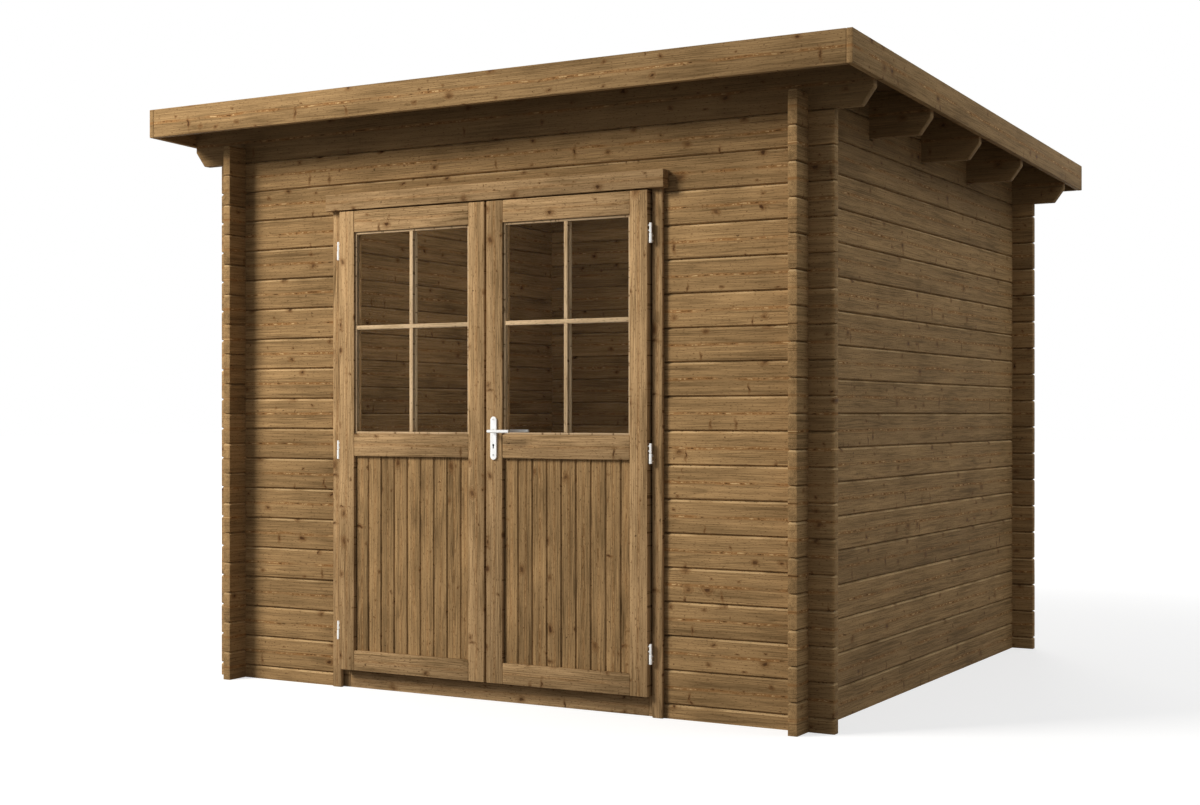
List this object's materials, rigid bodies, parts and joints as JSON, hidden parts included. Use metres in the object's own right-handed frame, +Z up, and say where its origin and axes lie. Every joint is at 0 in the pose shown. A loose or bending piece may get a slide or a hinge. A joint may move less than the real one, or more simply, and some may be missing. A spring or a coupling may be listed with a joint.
{
  "type": "log garden shed",
  "caption": "Log garden shed with crossing corners, a nearly flat overhanging roof on purlins and glazed double doors with a lever handle.",
  "frame": {"origin": "on the ground under the middle of the roof", "axes": "+X to the right seen from the front, +Y to the back (the doors face -Y), +Z up"},
  "size_m": [2.932, 2.83, 2.2373],
  "materials": {
    "log_wood": "matte",
    "roof_wood": "matte",
    "fascia_wood": "matte",
    "door_wood": "matte",
    "bead_wood": "matte",
    "felt": "matte",
    "glass": "glossy",
    "steel": "satin"
  },
  "bodies": {
    "house": {"front_wall_left": "log_wood", "front_wall_right": "log_wood", "front_wall_over_door": "log_wood", "back_wall": "log_wood", "left_wall": "log_wood", "right_wall": "log_wood", "front_purlin": "roof_wood", "middle_purlins": "roof_wood", "rear_purlin": "roof_wood", "roof_boards": "roof_wood", "roof_felt": "felt", "front_fascia": "fascia_wood", "rear_fascia": "fascia_wood", "left_fascia": "fascia_wood", "right_fascia": "fascia_wood", "left_jamb": "door_wood", "right_jamb": "door_wood", "head_jamb": "door_wood", "threshold": "door_wood", "left_casing": "door_wood", "right_casing": "door_wood", "head_casing": "door_wood", "left_frame_hinges": "steel", "right_frame_hinges": "steel"},
    "left_leaf": {"left_leaf_frame": "door_wood", "left_leaf_panel": "door_wood", "left_leaf_glass": "glass", "left_leaf_beads": "bead_wood", "left_leaf_hinges": "steel"},
    "right_leaf": {"right_leaf_frame": "door_wood", "right_leaf_panel": "door_wood", "right_leaf_glass": "glass", "right_leaf_beads": "bead_wood", "right_leaf_hinges": "steel", "outer_plate": "steel", "inner_plate": "steel"},
    "lever": {"lever": "steel"}
  },
  "joints": [
    {"name": "left_door", "type": "hinge", "parent": "house", "child": "left_leaf", "pos_m": [-0.696, -1.205, 0.95], "axis": [0, 0, -1], "range_deg": [0, 160]},
    {"name": "right_door", "type": "hinge", "parent": "house", "child": "right_leaf", "pos_m": [0.65, -1.205, 0.95], "axis": [0, 0, 1], "range_deg": [0, 160]},
    {"name": "lever_press", "type": "hinge", "parent": "right_leaf", "child": "lever", "pos_m": [0.016, -1.193, 0.981], "axis": [0, 1, 0], "range_deg": [0, 40], "stiffness_Nm_per_rad": 1.2, "springref_deg": -28.65}
  ]
}
